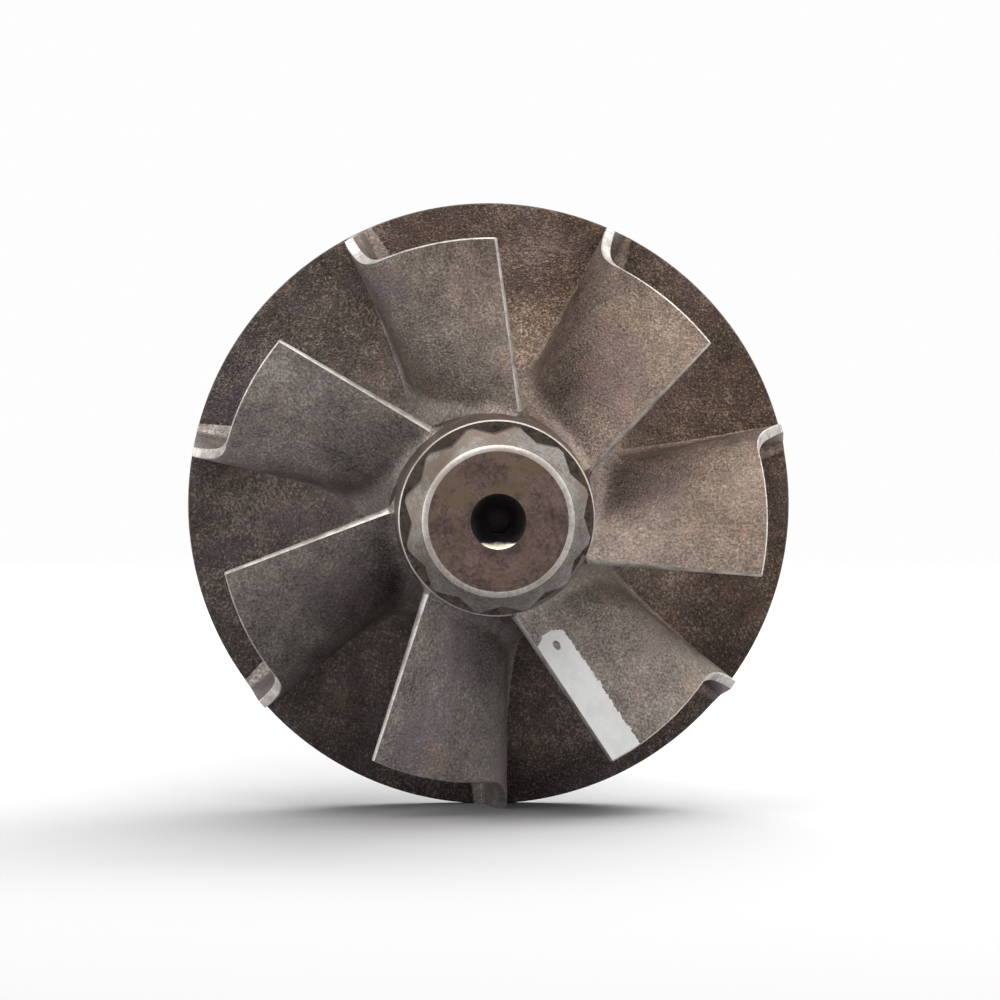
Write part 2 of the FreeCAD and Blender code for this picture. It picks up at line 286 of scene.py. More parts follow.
def backRings():
    h = hub
    centre = (h["bossBack"] + h["backFillet"], h["rimBack"] - h["backFillet"])
    rings = [(poleR, 0), (h["bossBack"] - h["bossBevel"], 0), (h["bossBack"], h["bossDrop"])]
    rings += arcPoints(centre, h["backFillet"], 180, 90, 8)
    return rings + between(rings[-1], (rimR - h["rimEdge"], h["rimBack"]), h["backSteps"])


def rimRings():
    h = hub
    return [(rimR - h["rimEdge"], h["rimBack"]), (rimR, h["rimBack"] + h["rimEdge"]),
            (rimR, h["rimFront"] - h["rimEdge"]), (rimR - h["rimEdge"], h["rimFront"])]


def faceRings():
    h = hub
    rings = [(rimR - h["rimEdge"], h["rimFront"])]
    rings += between(rings[-1], (h["curveR"], h["curveLow"]), h["faceSteps"])
    rings += hubCurve(h["curveSteps"])[1:]
    bossEnd = (h["shoulderR"], h["shoulder"] - h["shoulderEdge"])
    return rings + between((h["bossR"], h["curveHigh"]), bossEnd, h["bossSteps"])


def buildHub(shell, slots):
    angles = hubAngles()
    h = hub
    shell.addGrid(ringGrid(angles, backRings()), slots["back"], closed=True)
    shell.addGrid(ringGrid(angles, rimRings()), slots["cast"], closed=True)
    cut = [(np.minimum(radius, cutRadius(angles, height)), height) for radius, height in faceRings()]
    shell.addGrid(ringGrid(angles, cut), slots["cast"], closed=True)
    star = starRadius(angles)
    edge = np.minimum(h["shoulderR"] - h["shoulderEdge"], cutRadius(angles, h["shoulder"]))
    shell.addGrid(ringGrid(angles, [cut[-1], (edge, h["shoulder"])]), slots["edge"], closed=True)
    shell.addGrid(ringGrid(angles, [(edge, h["shoulder"]), (star, h["shoulder"])]), slots["shoulder"], closed=True)
    coneLow = h["noseTop"] - (star - h["noseFace"]) * h["noseChamfer"] / (h["noseR"] - h["noseFace"])
    wall = [(star, h["shoulder"] + (coneLow - h["shoulder"]) * share) for share in np.linspace(0, 1, 5)]
    shell.addGrid(ringGrid(angles, wall), slots["points"], closed=True)
    slope = math.atan2(h["noseChamfer"], h["noseR"] - h["noseFace"])
    reach = h["noseCrest"] * math.tan(slope / 2)
    crestOut = (h["noseFace"] + reach * math.cos(slope), h["noseTop"] - reach * math.sin(slope))
    cone = [(star + (crestOut[0] - star) * share, coneLow + (crestOut[1] - coneLow) * share)
            for share in np.linspace(0, 1, 6)]
    shell.addGrid(ringGrid(angles, cone), slots["turned"], closed=True)
    centre = (h["noseFace"] - reach, h["noseTop"] - h["noseCrest"])
    crest = arcPoints(centre, h["noseCrest"], 90 - math.degrees(slope), 90, 6)
    shell.addGrid(ringGrid(angles, crest), slots["crest"], closed=True)
    face = between((centre[0], h["noseTop"]), (h["mouth"] + h["mouthBevel"], h["noseTop"]), 6)
    shell.addGrid(ringGrid(angles, [(centre[0], h["noseTop"])] + face), slots["face"], closed=True)
    tip = h["noseTop"] - h["holeDepth"] - h["pilot"] * h["drillTip"]
    hole = [(h["mouth"] + h["mouthBevel"], h["noseTop"]), (h["mouth"], h["noseTop"] - h["mouthDrop"])]
    coneEnd = (h["pilot"] + h["pilotBevel"], h["noseTop"] - h["coneDepth"] + h["pilotDrop"])
    hole += between(hole[-1], coneEnd, 4)
    hole += [(h["pilot"], h["noseTop"] - h["coneDepth"]), (h["pilot"], h["noseTop"] - h["holeDepth"]), (poleR, tip)]
    shell.addGrid(ringGrid(angles, hole), slots["hole"], closed=True)


# the blades

blade = {
    "count": 7, "first": 117.96,
    "inducer": 8.9, "exducer": 17.6, "exducerR": rimR - 2.25, "knee": 10.7, "kneeCurve": 3.0,
    "lean": 2.4, "sweep": 28.3, "miss": 2.97,
    "tipIn": 0.7, "tipOut": 0.45, "rootIn": 2.7, "rootOut": 0.7, "footThickening": 0.9,
    "rimFillet": 0.9, "hubFillet": 1.5, "exitFillet": 0.7, "filletSunk": 0.1,
    "alongSteps": 54, "spanSteps": 30, "edge": 0.05, "tipBevel": 0.08, "tipBevelIn": 0.06,
    "groundFrom": 4, "kneeSteps": 13, "spanPower": 1.5, "sunk": 0.9, "crownWidth": 0.6,
    "pastRim": 3, "underRim": 0.4,      # the hub's outline is followed past the rim
}


def shroudLine(count):      # the tip line from inducer over the knee to exducer
    b = blade
    knee = np.array([b["exducerR"], b["knee"]])
    start = np.array([rimR, b["inducer"]])
    end = np.array([b["exducerR"], b["exducer"]])
    back = (start - knee) / np.linalg.norm(start - knee)
    ahead = (end - knee) / np.linalg.norm(end - knee)
    half = math.acos(np.dot(back, ahead)) / 2
    reach = b["kneeCurve"] / math.tan(half)
    centre = knee + (back + ahead) / np.linalg.norm(back + ahead) * b["kneeCurve"] / math.sin(half)
    first, last = knee + back * reach, knee + ahead * reach
    swing = np.linspace(0, 1, b["kneeSteps"])[:, None]
    chord = first + (last - first) * swing - centre
    arc = centre + chord / np.linalg.norm(chord, axis=1)[:, None] * b["kneeCurve"]
    return evenly(np.concatenate([[start], arc, [end]]), count)


def hubLine(count):      # the foot line along the disc and up the hub
    line = [(rimR, hub["rimFront"])] + hubCurve(40)
    rise = (blade["exducer"] - hub["curveHigh"]) / (hub["shoulder"] - hub["curveHigh"])
    line.append((hub["bossR"] + (hub["shoulderR"] - hub["bossR"]) * rise, blade["exducer"]))
    return evenly(np.array(line), count)


def evenly(line, count):
    steps = np.concatenate([[0], np.cumsum(np.linalg.norm(np.diff(line, axis=0), axis=1))])
    wanted = np.linspace(0, steps[-1], count + 1)
    return np.stack([np.interp(wanted, steps, line[:, axis]) for axis in (0, 1)], axis=1)


def hubClearance(radius, height):      # distance from the hub's outline
    past = (rimR + blade["pastRim"], hub["rimFront"] - blade["underRim"])
    line = np.array([past] + hubCurve(60) + [(hub["shoulderR"], hub["shoulder"])])
    points = np.stack([radius, height], axis=-1)[..., None, :]
    start, run = line[:-1], np.diff(line, axis=0)
    share = np.clip(((points - start) * run).sum(-1) / (run ** 2).sum(-1), 0, 1)
    nearest = start + run * share[..., None]
    return np.linalg.norm(points - nearest, axis=-1).min(-1)


def camberPoint(along, height):      # the middle surface, one straight line at each height
    b = blade
    share = (height - b["inducer"]) / (b["exducer"] - b["inducer"])
    swept = np.maximum(share, 0) ** 2
    foot = (b["inducer"] - (hub["rimBack"] + hub["rimFront"]) / 2) / (b["exducer"] - b["inducer"])
    lean = b["lean"] * np.minimum(share, 0) / foot
    miss = b["miss"] * swept
    turned = np.radians(b["first"] + lean - b["sweep"] * swept) + np.arcsin(miss / b["exducerR"])
    return np.stack([along * np.cos(turned) + miss * np.sin(turned),
                     along * np.sin(turned) - miss * np.cos(turned), height], axis=-1)


def lineMiss(height):
    share = (height - blade["inducer"]) / (blade["exducer"] - blade["inducer"])
    return blade["miss"] * np.maximum(share, 0) ** 2


def halfThickness(along, radius, height, clearance):
    b = blade
    share = (height - b["inducer"]) / (b["exducer"] - b["inducer"])
    up, down = np.maximum(share, 0), np.maximum(-share, 0)
    tip = b["tipIn"] + (b["tipOut"] - b["tipIn"]) * up + b["footThickening"] * down
    root = b["rootIn"] + (b["rootOut"] - b["rootIn"]) * up
    plain = tip + (root - tip) * (rimR - along) / rimR
    inward = np.clip((rimR - radius) / (rimR - hub["bossR"]), 0, 1)
    hubFillet = b["hubFillet"] + (b["exitFillet"] - b["hubFillet"]) * up ** 2
    fillet = b["rimFillet"] + (hubFillet - b["rimFillet"]) * inward
    gap = np.minimum(clearance + b["filletSunk"] * fillet, fillet)
    return plain / 2 + fillet - np.sqrt(fillet ** 2 - (fillet - gap) ** 2)


def bladeSurfaces():      # middle, normal, half thickness, the way up, radius
    b = blade
    hubSide = hubLine(b["alongSteps"])[:, None, :]
    tipSide = shroudLine(b["alongSteps"])[:, None, :]
    length = np.linalg.norm(tipSide - hubSide, axis=-1, keepdims=True)
    spans = (np.linspace(0, 1, b["spanSteps"]) ** b["spanPower"])[None, :, None] * (1 - b["tipBevel"] / length)
    spans = np.concatenate([spans, np.ones_like(length)], axis=1)
    meridian = hubSide + (tipSide - hubSide) * spans
    radius, height = meridian[..., 0], meridian[..., 1]
    along = np.sqrt(np.maximum(radius ** 2 - lineMiss(height) ** 2, 0))
    middle = camberPoint(along, height)
    step = 0.01
    outward = camberPoint(along + step, height) - camberPoint(along - step, height)
    upward = camberPoint(along, height + step) - camberPoint(along, height - step)
    normal = np.cross(upward, outward)
    normal /= np.linalg.norm(normal, axis=-1, keepdims=True)
    upward /= np.linalg.norm(upward, axis=-1, keepdims=True)
    half = halfThickness(along, radius, height, hubClearance(radius, height))
    half[:, -1] -= b["tipBevelIn"]
    return middle, normal, half, upward, radius


def heldToRadius(points, radius):      # ground edges lie on a turned surface
    there = np.linalg.norm(points[..., :2], axis=-1)
    kept = points.copy()
    kept[..., :2] *= (radius / there)[..., None]
    return kept


def bladeGrids():
    middle, normal, half, upward, radius = bladeSurfaces()
    faces = {}
    for side in (1, -1):
        face = middle + side * normal * half[..., None]
        face[:, -1] = heldToRadius(face[:, -1], radius[:, -1])
        face[0] = heldToRadius(face[0], radius[0])
        rise = face[:, 1:2] - face[:, :1]
        sunk = face[:, :1] - rise / np.linalg.norm(rise, axis=-1)[..., None] * blade["sunk"]
        faces[side] = np.concatenate([sunk, face], axis=1)
    return faces, upward


def turnedBy(points, degrees):
    turn = math.radians(degrees)
    x = points[..., 0] * math.cos(turn) - points[..., 1] * math.sin(turn)
    y = points[..., 0] * math.sin(turn) + points[..., 1] * math.cos(turn)
    return np.stack([x, y, points[..., 2]], axis=-1)


def buildBlades(shell, slots):
    b = blade
    faces, upward = bladeGrids()
    front, back = faces[1], faces[-1]
    for number in range(b["count"]):
        turn = -360 / b["count"] * number
        painted = number + 1 == paint["blade"]
        shell.addGrid(turnedBy(front[:, :-1], turn), slots["painted" if painted else "blade"], flip=True)
        shell.addGrid(turnedBy(front[:, -2:], turn), slots["ground"], flip=True)
        shell.addGrid(turnedBy(back[:, :-1], turn), slots["blade"])
        shell.addGrid(turnedBy(back[:, -2:], turn), slots["ground"])
        tipStrip = np.stack([front[:, -1], back[:, -1]], axis=0)
        shell.addGrid(turnedBy(tipStrip, turn), slots["ground"], flip=True)
        inletStrip = np.stack([front[0], back[0]], axis=0)
        shell.addGrid(turnedBy(inletStrip, turn), slots["ground"])
        ends = endStrip(front[-1], back[-1], upward[-1])
        ground = b["groundFrom"]
        shell.addGrid(turnedBy(ends[:, :ground + 1], turn), slots["blade"], flip=True)
        shell.addGrid(turnedBy(ends[:, ground:], turn), slots["ground"], flip=True)


def endStrip(first, second, upward):      # the trailing edge, crowned a little
    upward = np.concatenate([upward[:1], upward])
    crown = (first + second) / 2 + upward * blade["edge"]
    wide = blade["crownWidth"]
    return np.stack([first, crown + (first - crown) * wide, crown, crown + (second - crown) * wide, second])


# finishes

castLook = {      # noise scales are per millimetre
    "dark": (0.070, 0.060, 0.056), "middle": (0.146, 0.129, 0.119), "light": (0.275, 0.248, 0.228),
    "rust": (0.18, 0.115, 0.08), "violet": (0.12, 0.095, 0.115), "warm": (1.09, 0.93, 0.80),
    # painted light: the first tone on the next line makes the blades lighter toward the left and bottom
    "cool": (1.24, 1.23, 1.22), "rimShade": 1.0,
    "grain": 5.2, "mottle": 0.6, "stain": 0.14, "contrast": 0.22, "specks": 0.45,
    "stainShare": 0.28, "mottleShare": 0.24, "grainShare": 0.48,
    "rustScale": 0.3, "rustFrom": 0.55, "rustFull": 0.72, "rustMost": 0.4,
    "violetScale": 0.17, "violetFrom": 0.54, "violetFull": 0.68, "violetMost": 0.4,
    "coolEnd": -10, "warmEnd": 20, "warmRise": 0.8, "shadeFrom": 5, "shadeFull": 1.5,
    "speckScale": 1.35, "speckFrom": 0.63, "speckFull": 0.72,
    "pitScale": 1.1, "pitFrom": 0.76, "pitFull": 0.8, "pitDepth": 1.5, "fineScale": 2.1,
    "roughness": (0.38, 0.58), "roughSpread": 0.2, "metal": 0.84, "metalSpread": 0.1,
    "bump": 0.085, "bumpStrength": 0.8, "grainHeight": 0.8, "fineHeight": 0.4, "speckHeight": 0.5,
}
# on the hub the left-and-bottom tone is a painted shade, darker toward the left and bottom
hubLook = dict(castLook, dark=(0.040, 0.031, 0.028), middle=(0.098, 0.079, 0.068), light=(0.30, 0.255, 0.22),
               cool=(0.92, 0.90, 0.93), contrast=0.26, specks=0.6, bump=0.13, rimShade=0.62)
backLook = dict(castLook, dark=(0.17, 0.155, 0.145), middle=(0.25, 0.235, 0.22), light=(0.34, 0.325, 0.31),
                specks=0.1, roughness=(0.34, 0.5), bump=0.015)
paint = {
    "blade": 4, "start": 2.75, "width": 2.5, "rounding": 0.35, "edge": 0.07,
    "ragged": 0.16, "wobbleScale": 1.3, "wobble": 4, "frayScale": 5.0, "fray": 2,
    "holeAlong": 3.95, "holeAside": 1.4, "holeR": 0.26, "holeLong": 0.6, "holeWide": 1.5, "holeFray": 0.4,
    "patchScale": 0.8, "patchFrom": 0.42, "patchFull": 0.66, "roughness": 0.5,
    "color": (0.74, 0.75, 0.735), "thin": (0.68, 0.69, 0.68), "evened": 0.6, "height": 0.9,
}


def castColor(tree, place, look):      # stains and mottling under grain and bright specks, with painted light that lightens the blades and darkens the hub toward the left and bottom, a browner right and top, and on the hub a darkening toward the rim
    stain = tree.noise(place, look["stain"], 3, 0.6)
    mottle = tree.noise(place, look["mottle"], 4, 0.6)
    grain = tree.noise(place, look["grain"], 2, 0.6)
    spread = look["contrast"]
    level = stain * look["stainShare"] + mottle * look["mottleShare"] + grain * look["grainShare"]
    color = tree.blend(tree.ease(level, 0.5 - spread / 2, 0.5), look["dark"], look["middle"])
    color = tree.blend(tree.ease(level, 0.5, 0.5 + spread / 2), color, look["light"])
    rust = tree.ease(tree.noise(place, look["rustScale"], 4, 0.6), look["rustFrom"], look["rustFull"])
    color = tree.blend(rust * look["rustMost"], color, look["rust"])
    violet = tree.ease(tree.noise(place, look["violetScale"], 3, 0.5, 0.4), look["violetFrom"], look["violetFull"])
    color = tree.blend(violet * look["violetMost"], color, look["violet"])
    x, _, z = tree.split(place)
    # painted light: lighter toward the left and bottom on the blades, darker there on the hub, and browner toward the
    # right and top
    paintedSideBlend = tree.ease(x + z * look["warmRise"], look["coolEnd"], look["warmEnd"])
    color = tree.blend(1, color, tree.blend(paintedSideBlend, look["cool"], look["warm"]), "MULTIPLY")
    radius = (x ** 2 + z ** 2) ** 0.5
    shade = tree.ease(radius, rimR - look["shadeFrom"], rimR - look["shadeFull"], 1, look["rimShade"])
    color = tree.blend(1, color, tree.gray(shade), "MULTIPLY")
    speckGrain = tree.noise(place, look["grain"] * look["speckScale"], 1, 0.5)
    speck = tree.ease(speckGrain, look["speckFrom"], look["speckFull"]) * look["specks"]
    return tree.blend(speck, color, look["light"]), grain, mottle, speck


def castMaterial(name, look, withPaint=False):
    material = bpy.data.materials.new(name)
    tree = Tree(material)
    place = tree.placeInMm()
    color, grain, mottle, speck = castColor(tree, place, look)
    low, high = look["roughness"]
    roughness = low + (high - low) * grain + (mottle - 0.5) * look["roughSpread"]
    metal = look["metal"] + (mottle - 0.5) * look["metalSpread"]
    pits = tree.ease(tree.noise(place, look["pitScale"], 2, 0.5), look["pitFrom"], look["pitFull"]) * look["pitDepth"]
    fine = tree.noise(place, look["grain"] * look["fineScale"], 2, 0.6)
    height = grain * look["grainHeight"] + fine * look["fineHeight"] + speck * look["speckHeight"] - pits
    if withPaint:
        mask = paintMask(tree, place)
        patches = tree.ease(tree.noise(place, paint["patchScale"], 4, 0.6), paint["patchFrom"], paint["patchFull"])
        coat = tree.blend(patches, paint["color"], paint["thin"])
        color = tree.blend(mask, color, coat)
        roughness = roughness * (1 - mask) + paint["roughness"] * mask
        metal = metal * (1 - mask)
        height = height * (1 - mask * paint["evened"]) + mask * paint["height"]
    bump = tree.bump(look, height)
    tree.finish({"Base Color": color, "Metallic": metal, "Roughness": roughness, "Normal": bump})
    return material


def paintMask(tree, place):      # the stroke along one blade's trailing edge
    b = blade
    turn = -360 / b["count"] * (paint["blade"] - 1)
    along = np.sqrt(np.array([hub["bossR"], b["exducerR"]]) ** 2 - b["miss"] ** 2)
    ends = turnedBy(camberPoint(along, np.full(2, b["exducer"])), turn)
    root, tip = ends[0][:2], ends[1][:2]
    run = (tip - root) / np.linalg.norm(tip - root)
    x, _, z = tree.split(place)
    fromX, fromZ = x - float(root[0]), z - float(root[1])
    along = fromX * float(run[0]) + fromZ * float(run[1])
    aside = fromZ * float(run[0]) - fromX * float(run[1])
    wobble = (tree.noise(place, paint["wobbleScale"], 4, 0.6) - 0.5) * paint["ragged"] * paint["wobble"]
    fray = (tree.noise(place, paint["frayScale"], 3, 0.6) - 0.5) * paint["ragged"] * paint["fray"]
    toSide = paint["width"] - aside + wobble + fray
    rounding = (aside - paint["width"] / 2) ** 2 * paint["rounding"]
    toTop = along - paint["start"] - rounding + wobble + fray
    inside = smaller(toSide, toTop)
    holeX, holeY = along - paint["holeAlong"], aside - paint["holeAside"]
    holeGap = (holeX ** 2 * paint["holeLong"] + holeY ** 2 * paint["holeWide"]) ** 0.5
    holeGap = holeGap - paint["holeR"] + fray * paint["holeFray"]
    inside = smaller(inside, holeGap)
    return tree.ease(inside, 0, paint["edge"])


groundLook = {
    "light": (0.56, 0.54, 0.51), "dark": (0.25, 0.225, 0.21), "scratch": 9.0, "patchScale": 0.9,
    "scratchShare": 0.5, "patchShare": 0.5, "levelFrom": 0.36, "levelFull": 0.62,
    "roughness": 0.42, "roughSpread": 0.16, "metal": 0.95, "bump": 0.01, "bumpStrength": 0.4,
}


def groundMaterial(name, look):      # bright, with fine scratches
    material = bpy.data.materials.new(name)
    tree = Tree(material)
    place = tree.placeInMm()
    x, y, z = tree.split(place)
    radius = (x ** 2 + z ** 2) ** 0.5
    lines = tree.ringNoise(radius * look["scratch"], y * look["scratch"], 3, 0.7)
    patches = tree.noise(place, look["patchScale"], 4, 0.6)
    level = lines * look["scratchShare"] + patches * look["patchShare"]
    color = tree.blend(tree.ease(level, look["levelFrom"], look["levelFull"]), look["dark"], look["light"])
    roughness = look["roughness"] + look["roughSpread"] * patches
    bump = tree.bump(look, lines)
    tree.finish({"Base Color": color, "Metallic": look["metal"], "Roughness": roughness, "Normal": bump})
    return material


turnedLook = {
    "light": (0.21, 0.20, 0.188), "dark": (0.105, 0.088, 0.076), "heat": (0.135, 0.098, 0.073),
    "roughness": 0.42, "lines": 6.0, "stain": 0.45, "spots": 0.12,
    "heatScale": 0.42, "heatRise": 0.012, "heatFrom": 0.47, "heatFull": 0.62, "heatMost": 0.75,
    "spotScale": 3.1, "spotFrom": 0.54, "spotFull": 0.66, "spotRoughness": 0.1,
    "grainScale": 4.5, "ringShare": 0.15, "stainShare": 0.5, "grainShare": 0.35,
    "levelFrom": 0.38, "levelFull": 0.62, "roughSpread": 0.25, "polish": 0.05, "metal": 0.85,
    "bump": 0.02, "bumpStrength": 0.6, "ringHeight": 0.5, "grainHeight": 0.6,
}
# painted highlight: the nose's rounded crest and the shoulder's edge are coloured lighter than the turned faces beside
# them
crestHighlightLook = dict(turnedLook, light=(0.44, 0.42, 0.395), dark=(0.27, 0.245, 0.22), heat=(0.34, 0.30, 0.26),
                 roughness=0.36)
edgeHighlightLook = dict(crestHighlightLook, light=(0.42, 0.39, 0.36))
faceLook = dict(turnedLook, light=(0.157, 0.106, 0.096), dark=(0.06, 0.042, 0.036), heat=(0.132, 0.094, 0.06),
                roughness=0.38, lines=5.0, stain=0.6, spots=0.8)
shoulderLook = dict(turnedLook, light=(0.13, 0.105, 0.092), dark=(0.035, 0.028, 0.024), heat=(0.10, 0.075, 0.06),
                    roughness=0.45, lines=3.0, stain=0.8, spots=0.4)
# painted shade: the centre hole is coloured nearly black
holePaintedShadeLook = dict(shoulderLook, light=(0.03, 0.024, 0.026), dark=(0.012, 0.010, 0.012), heat=(0.02, 0.016, 0.016),
                wiped=(0.85, 0.79, 0.64),      # painted highlight, bright only low in the mouth
                wipedFrom=-1.28, wipedFull=-1.5, wander=0.5)


def turnedMaterial(name, look):      # faint rings and heat stains, and in the centre hole a painted highlight low in the mouth
    material = bpy.data.materials.new(name)
    tree = Tree(material)
    place = tree.placeInMm()
    x, y, z = tree.split(place)
    radius = (x ** 2 + z ** 2) ** 0.5
    rings = tree.ringNoise(radius * look["lines"], y * look["lines"], 3, 0.6)
    patches = tree.noise(place, look["stain"], 5, 0.65)
    grain = tree.noise(place, look["grainScale"], 3, 0.6)
    level = rings * look["ringShare"] + patches * look["stainShare"] + grain * look["grainShare"]
    color = tree.blend(tree.ease(level, look["levelFrom"], look["levelFull"]), look["dark"], look["light"])
    spots = tree.ease(tree.noise(place, look["spotScale"], 3, 0.7), look["spotFrom"], look["spotFull"]) * look["spots"]
    color = tree.blend(spots, color, look["dark"])
    heat = tree.noise(place, look["heatScale"], 3, 0.6, 0.5) + z * look["heatRise"]
    color = tree.blend(tree.ease(heat, look["heatFrom"], look["heatFull"]) * look["heatMost"], color, look["heat"])
    # painted highlight: the lower wall of the hole's mouth is made bright
    if "wiped" in look:
        low = tree.ease(z + patches * look["wander"], look["wipedFrom"], look["wipedFull"])
        color = tree.blend(low, color, look["wiped"])
    roughness = look["roughness"] + look["roughSpread"] * patches - look["polish"] + spots * look["spotRoughness"]
    bump = tree.bump(look, rings * look["ringHeight"] + grain * look["grainHeight"])
    tree.finish({"Base Color": color, "Metallic": look["metal"], "Roughness": roughness, "Normal": bump})
    return material


# the shaft

shaft = {
    "flangeR": 8.0, "flange": 9.5, "grooveAt": 4.6, "grooveWidth": 1.6, "grooveDepth": 1.5,
    "neckR": 5.2, "neck": 2.2, "journal": 43.0, "land": 11.0, "relief": 0.2,
    "seat": 27.0, "thread": 13.0, "pitch": 0.8, "threadDepth": 0.44,
    "undercut": 1.2, "undercutDepth": 0.35, "undercutLead": 0.15, "undercutRise": 0.3, "chamfer": 0.4,
    "flangeEdge": 0.1, "grooveEdge": 0.08, "journalLead": 0.25,
    "threadSteps": 14, "rootFlat": 0.14, "flank": 0.72, "fade": 1.2,      # fade in pitches
    "mouth": 1.2, "pilot": 0.6, "coneDepth": 1.04, "holeDepth": 2.4, "drillTip": 0.6, "sharpAngle": 18,
    "columns": 128, "flangeRings": 15,      # rings that take the flange's finish
}


def steppedRings():
    s = shaft
    c = s["chamfer"]
    flangeEnd = s["flange"]
    neckEnd = flangeEnd + s["neck"]
    journalEnd = neckEnd + s["journal"]
    seatEnd = journalEnd + s["seat"]
    waistStart, waistEnd = neckEnd + s["land"], journalEnd - s["land"]
    groove = s["flangeR"] - s["grooveDepth"]
    grooveEnd = s["grooveAt"] + s["grooveWidth"]
    grooveEdge, seatFoot = s["grooveEdge"], seatR - s["undercutDepth"]
    rings = [(poleR, 0), (s["flangeR"] - s["flangeEdge"], 0), (s["flangeR"], s["flangeEdge"]),
             (s["flangeR"], s["grooveAt"] - grooveEdge), (s["flangeR"] - grooveEdge, s["grooveAt"]),
             (groove, s["grooveAt"]), (groove, grooveEnd),
             (s["flangeR"] - grooveEdge, grooveEnd), (s["flangeR"], grooveEnd + grooveEdge),
             (s["flangeR"], flangeEnd - c), (s["flangeR"] - c, flangeEnd),
             (s["neckR"], flangeEnd), (s["neckR"], neckEnd - c), (s["neckR"] - c, neckEnd),
             (journalR + s["journalLead"], neckEnd), (journalR, neckEnd + s["journalLead"]),
             (journalR, waistStart), (journalR - s["relief"], waistStart + c),
             (journalR - s["relief"], waistEnd - c), (journalR, waistEnd),
             (journalR, journalEnd - c), (journalR - c, journalEnd),
             (seatFoot + s["undercutLead"], journalEnd), (seatFoot, journalEnd + s["undercutLead"]),
             (seatFoot, journalEnd + s["undercut"] - s["undercutRise"]), (seatR, journalEnd + s["undercut"]),
             (seatR, seatEnd - c / 2), (seatR - c / 2, seatEnd), (threadR - s["threadDepth"], seatEnd)]
    return rings, seatEnd


def threadGrid(angles, start, length):      # right-hand, fading at both ends
    s = shaft
    rows = int(length / s["pitch"] * s["threadSteps"])
    heights = np.linspace(0, length, rows + 1)[:, None]
    turns = np.mod(heights / s["pitch"] - angles[None, :] / (2 * math.pi), 1)
    rise = np.clip((np.abs(turns - 0.5) * 2 - s["rootFlat"]) / s["flank"], 0, 1)
    chamfered = np.clip((length - heights) / s["chamfer"], 0, 1) * s["threadDepth"]
    runOut = np.clip(heights / (s["pitch"] * s["fade"]), 0, 1)
    depth = s["threadDepth"] * (1 - rise * runOut)
    radius = threadR - np.maximum(depth, s["threadDepth"] - chamfered)
    height = start + np.broadcast_to(heights, radius.shape)
    return np.stack([radius * np.cos(angles), radius * np.sin(angles), height], axis=-1)


def buildShaft(materials):
    s = shaft
    shell = Shell()
    angles = np.linspace(0, 2 * math.pi, s["columns"], endpoint=False)
    rings, threadStart = steppedRings()
    split = s["flangeRings"]
    shell.addGrid(ringGrid(angles, rings[:split]), 0, closed=True, flip=True)
    shell.addGrid(ringGrid(angles, rings[split - 1:]), 1, closed=True, flip=True)
    thread = threadGrid(angles, threadStart, s["thread"])
    shell.addGrid(thread, 2, closed=True, flip=True)
    end = threadStart + s["thread"]
    last = threadR - s["threadDepth"]
    hole = [(last, end), (s["mouth"], end), (s["pilot"], end - s["coneDepth"]),
            (s["pilot"], end - s["holeDepth"]), (poleR, end - s["holeDepth"] - s["pilot"] * s["drillTip"])]
    shell.addGrid(ringGrid(angles, hole), 1, closed=True, flip=True)
    return shell.build("rotorShaft", materials, onShaft, s["sharpAngle"])


plainSteel = {
    "lines": 14, "hazeScale": 0.35, "ringShare": 0.45, "hazeShare": 0.55, "levelFrom": 0.34, "levelFull": 0.66,
    "hazeRoughness": 0.12, "ringRoughness": 0.05, "metal": 0.96, "bump": 0.006, "bumpStrength": 0.3,
}
steelLook = {
    "flange": dict(plainSteel, light=(0.46, 0.43, 0.40), dark=(0.25, 0.215, 0.19), roughness=0.30,
                   straw=(0.22, 0.12, 0.06), strawFrom=0.4, strawEnd=5.5, strawMost=0.8,
                   strawLeast=0.6, strawSpread=0.4,
                   blue=(0.10, 0.10, 0.14), blueFrom=0.2, blueEnd=1.6, blueMost=0.6),
    "ground": dict(plainSteel, light=(0.50, 0.50, 0.49), dark=(0.37, 0.365, 0.36), roughness=0.26),
    "thread": dict(plainSteel, light=(0.50, 0.49, 0.47), dark=(0.30, 0.29, 0.275), roughness=0.30),
}


def steelMaterial(name, look):      # fine rings, haze, a heat tint by the weld
    material = bpy.data.materials.new(name)
    tree = Tree(material)
    place = tree.placeInMm()
    _, y, _ = tree.split(place)
    rings = tree.ringNoise(0, y * look["lines"], 4, 0.7)
    haze = tree.noise(place, look["hazeScale"], 4, 0.55)
    level = rings * look["ringShare"] + haze * look["hazeShare"]
    color = tree.blend(tree.ease(level, look["levelFrom"], look["levelFull"]), look["dark"], look["light"])
    if "straw" in look:
        straw = tree.ease(y, weldY + look["strawFrom"], weldY + look["strawEnd"], 1, 0)
        straw = straw * (look["strawLeast"] + look["strawSpread"] * haze)
        color = tree.blend(straw * look["strawMost"], color, look["straw"])
        blue = tree.ease(y, weldY + look["blueFrom"], weldY + look["blueEnd"], 1, 0)
        color = tree.blend(blue * look["blueMost"], color, look["blue"])
    roughness = look["roughness"] + look["hazeRoughness"] * haze + look["ringRoughness"] * rings
    bump = tree.bump(look, rings)
    tree.finish({"Base Color": color, "Metallic": look["metal"], "Roughness": roughness, "Normal": bump})
    return material


